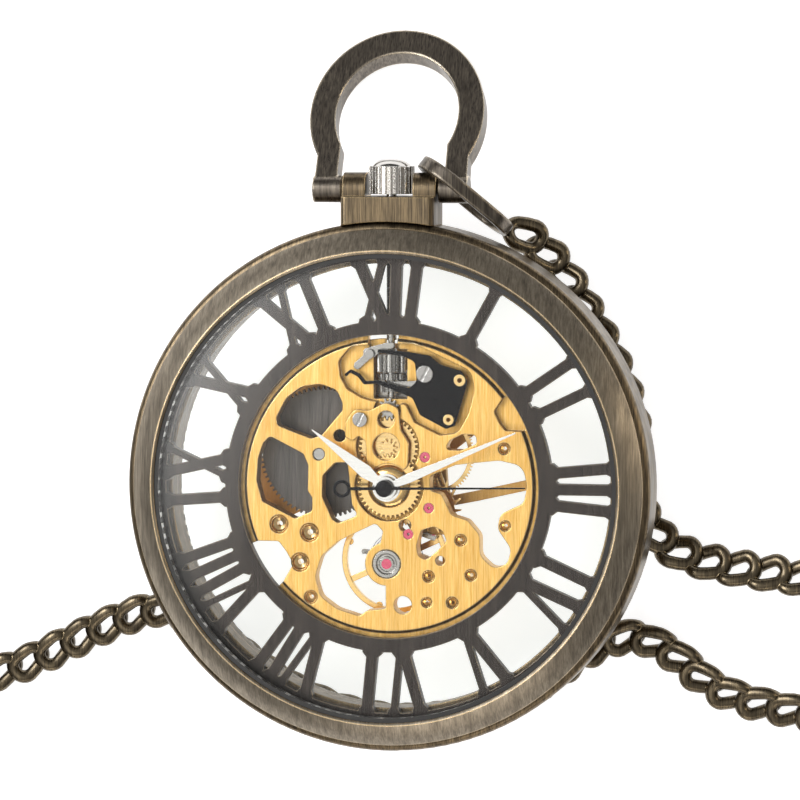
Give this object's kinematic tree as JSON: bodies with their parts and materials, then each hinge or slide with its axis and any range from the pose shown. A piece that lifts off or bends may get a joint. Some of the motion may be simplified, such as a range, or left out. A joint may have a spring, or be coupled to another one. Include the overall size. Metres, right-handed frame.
{
  "type": "pocket watch",
  "caption": "Open-face pocket watch lying on its back glass: pierced gilt movement under cut-out Roman numerals, ribbed crown, hinged bow, and a curb chain with a swivel clip",
  "frame": {"origin": "on the hand axis, in the plane the back glass rests on", "axes": "+Z out of the dial, +Y to 12 o'clock and the crown, +X to 3 o'clock"},
  "size_m": [0.1278, 0.064, 0.0134],
  "materials": {
    "case_bronze": "brushed",
    "bezel_bronze": "brushed",
    "gasket": "matt",
    "crystal": "polished",
    "ring_gunmetal": "brushed",
    "gilt_plate": "brushed, polished edges",
    "black_steel": "polished black",
    "brass": "polished",
    "screw_steel": "polished",
    "gilt_bridge": "satin",
    "ruby": "polished",
    "polished_steel": "polished",
    "spring_steel": "polished",
    "barrel_steel": "turned",
    "gilt_wheel": "polished",
    "hand_silver": "polished",
    "bow_bronze": "brushed",
    "chain_bronze": "polished",
    "crown_steel": "polished"
  },
  "bodies": {
    "watch": {"case_middle": "case_bronze", "front_bezel": "bezel_bronze", "front_gasket": "gasket", "front_crystal": "crystal", "back_bezel": "case_bronze", "back_gasket": "gasket", "back_crystal": "crystal", "pendant": "case_bronze", "numeral_ring": "ring_gunmetal", "main_plate": "gilt_plate", "minute_train_bridge": "gilt_plate", "setting_lever_spring": "black_steel", "plate_bushes": "brass", "dial_side_screws": "screw_steel", "barrel_bridge": "gilt_bridge", "train_bridge": "gilt_bridge", "balance_cock": "gilt_bridge", "pallet_cock": "gilt_bridge", "bridge_screws": "screw_steel", "jewels": "ruby", "shock_setting": "polished_steel", "regulator": "polished_steel", "hairspring": "spring_steel", "yoke_spring": "spring_steel", "click_spring": "spring_steel", "chain_ring": "bow_bronze", "chain_run": "chain_bronze", "chain_coil": "chain_bronze", "chain_swivel": "chain_bronze"},
    "seconds": {"fourth_wheel": "brass", "second_hand": "black_steel"},
    "minutes": {"centre_wheel": "brass", "cannon_pinion": "polished_steel", "minute_hand": "hand_silver"},
    "hours": {"hour_wheel": "gilt_wheel", "hour_hand": "hand_silver"},
    "third": {"third_wheel": "brass"},
    "escape": {"escape_wheel": "brass"},
    "barrel": {"barrel_drum": "barrel_steel", "barrel_cover": "barrel_steel", "mainspring": "spring_steel"},
    "minute_work": {"minute_wheel": "brass"},
    "setting": {"setting_wheel": "polished_steel"},
    "winding": {"winding_pinion": "polished_steel"},
    "crown_stem": {"stem": "polished_steel", "crown": "crown_steel"},
    "clutch": {"clutch": "polished_steel"},
    "crown_gear": {"crown_wheel": "polished_steel"},
    "ratchet": {"ratchet_wheel": "polished_steel", "barrel_arbor": "polished_steel"},
    "lever": {"setting_lever": "polished_steel"},
    "yoke": {"yoke": "polished_steel"},
    "click": {"click": "polished_steel"},
    "pallet": {"pallet_fork": "polished_steel", "pallet_stones": "ruby"},
    "balance": {"balance_wheel": "gilt_wheel", "balance_staff": "polished_steel"},
    "bow": {"bow": "bow_bronze", "bow_pins": "bow_bronze"},
    "gate": {"chain_gate": "chain_bronze"}
  },
  "joints": [
    {"name": "second_hand_turn", "type": "hinge", "parent": "watch", "child": "seconds", "pos_m": [0, 0, 0.008], "axis": [0, 0, 1], "continuous": true},
    {"name": "minute_hand_turn", "type": "hinge", "parent": "watch", "child": "minutes", "pos_m": [0, 0, 0.008], "axis": [0, 0, 1], "continuous": true},
    {"name": "hour_hand_turn", "type": "hinge", "parent": "watch", "child": "hours", "pos_m": [0, 0, 0.008], "axis": [0, 0, 1], "continuous": true},
    {"name": "third_wheel_turn", "type": "hinge", "parent": "watch", "child": "third", "pos_m": [0.00323, 0.00265, 0.008], "axis": [0, 0, 1], "continuous": true},
    {"name": "escape_wheel_turn", "type": "hinge", "parent": "watch", "child": "escape", "pos_m": [0.00358, -0.00187, 0.008], "axis": [0, 0, 1], "continuous": true},
    {"name": "barrel_turn", "type": "hinge", "parent": "watch", "child": "barrel", "pos_m": [-0.00635, 0.00277, 0.008], "axis": [0, 0, 1], "continuous": true},
    {"name": "minute_wheel_turn", "type": "hinge", "parent": "watch", "child": "minute_work", "pos_m": [-0.00013, 0.00343, 0.008], "axis": [0, 0, 1], "continuous": true},
    {"name": "setting_wheel_turn", "type": "hinge", "parent": "watch", "child": "setting", "pos_m": [-0.00013, 0.00686, 0.008], "axis": [0, 0, 1], "continuous": true},
    {"name": "crown_turn", "type": "hinge", "parent": "watch", "child": "winding", "pos_m": [0, 0.0109, 0.0083], "axis": [0, 1, 0], "continuous": true},
    {"name": "crown_wheel_turn", "type": "hinge", "parent": "watch", "child": "crown_gear", "pos_m": [0, 0.0086, 0.008], "axis": [0, 0, 1], "continuous": true},
    {"name": "ratchet_turn", "type": "hinge", "parent": "watch", "child": "ratchet", "pos_m": [-0.00635, 0.00277, 0.008], "axis": [0, 0, 1], "continuous": true},
    {"name": "crown_pull", "type": "slide", "parent": "winding", "child": "crown_stem", "axis": [0, 1, 0], "range_m": [0, 0.0008]},
    {"name": "clutch_slide", "type": "slide", "parent": "winding", "child": "clutch", "axis": [0, 1, 0], "range_m": [-0.00046, 0]},
    {"name": "setting_lever_turn", "type": "hinge", "parent": "watch", "child": "lever", "pos_m": [-0.0018, 0.01175, 0.009], "axis": [0, 0, 1], "range_deg": [0, 26]},
    {"name": "yoke_turn", "type": "hinge", "parent": "watch", "child": "yoke", "pos_m": [0.0042, 0.0092, 0.009], "axis": [0, 0, 1], "range_deg": [0, 7]},
    {"name": "click_turn", "type": "hinge", "parent": "watch", "child": "click", "pos_m": [-0.0109, -0.0019, 0.004], "axis": [0, 0, 1], "range_deg": [-3, 0]},
    {"name": "pallet_rock", "type": "hinge", "parent": "watch", "child": "pallet", "pos_m": [0.00173, -0.00422, 0.008], "axis": [0, 0, 1], "range_deg": [-4, 4]},
    {"name": "balance_swing", "type": "hinge", "parent": "watch", "child": "balance", "pos_m": [-0.00022, -0.00691, 0.008], "axis": [0, 0, 1], "range_deg": [-270, 270]},
    {"name": "bow_swing", "type": "hinge", "parent": "watch", "child": "bow", "pos_m": [0, 0.0263, 0.0083], "axis": [1, 0, 0], "range_deg": [0, 50]},
    {"name": "gate_swing", "type": "hinge", "parent": "watch", "child": "gate", "pos_m": [-0.0485, -0.00765, 0.0015], "axis": [0, 0, 1], "range_deg": [0, 20]}
  ],
  "couplings": [
    {"joint": "minute_hand_turn", "follows": "second_hand_turn", "ratio": 0.016667},
    {"joint": "hour_hand_turn", "follows": "second_hand_turn", "ratio": 0.0013889},
    {"joint": "third_wheel_turn", "follows": "second_hand_turn", "ratio": -0.13333},
    {"joint": "escape_wheel_turn", "follows": "second_hand_turn", "ratio": -10},
    {"joint": "barrel_turn", "follows": "second_hand_turn", "ratio": -0.0033333},
    {"joint": "minute_wheel_turn", "follows": "second_hand_turn", "ratio": -0.0055556},
    {"joint": "setting_wheel_turn", "follows": "second_hand_turn", "ratio": 0.016667},
    {"joint": "crown_wheel_turn", "follows": "crown_turn", "ratio": 0.65},
    {"joint": "ratchet_turn", "follows": "crown_turn", "ratio": -0.38235},
    {"joint": "clutch_slide", "follows": "crown_pull", "ratio": -0.5625},
    {"joint": "setting_lever_turn", "follows": "crown_pull", "rad_per_m": 555.5},
    {"joint": "yoke_turn", "follows": "crown_pull", "rad_per_m": 146.5}
  ]
}
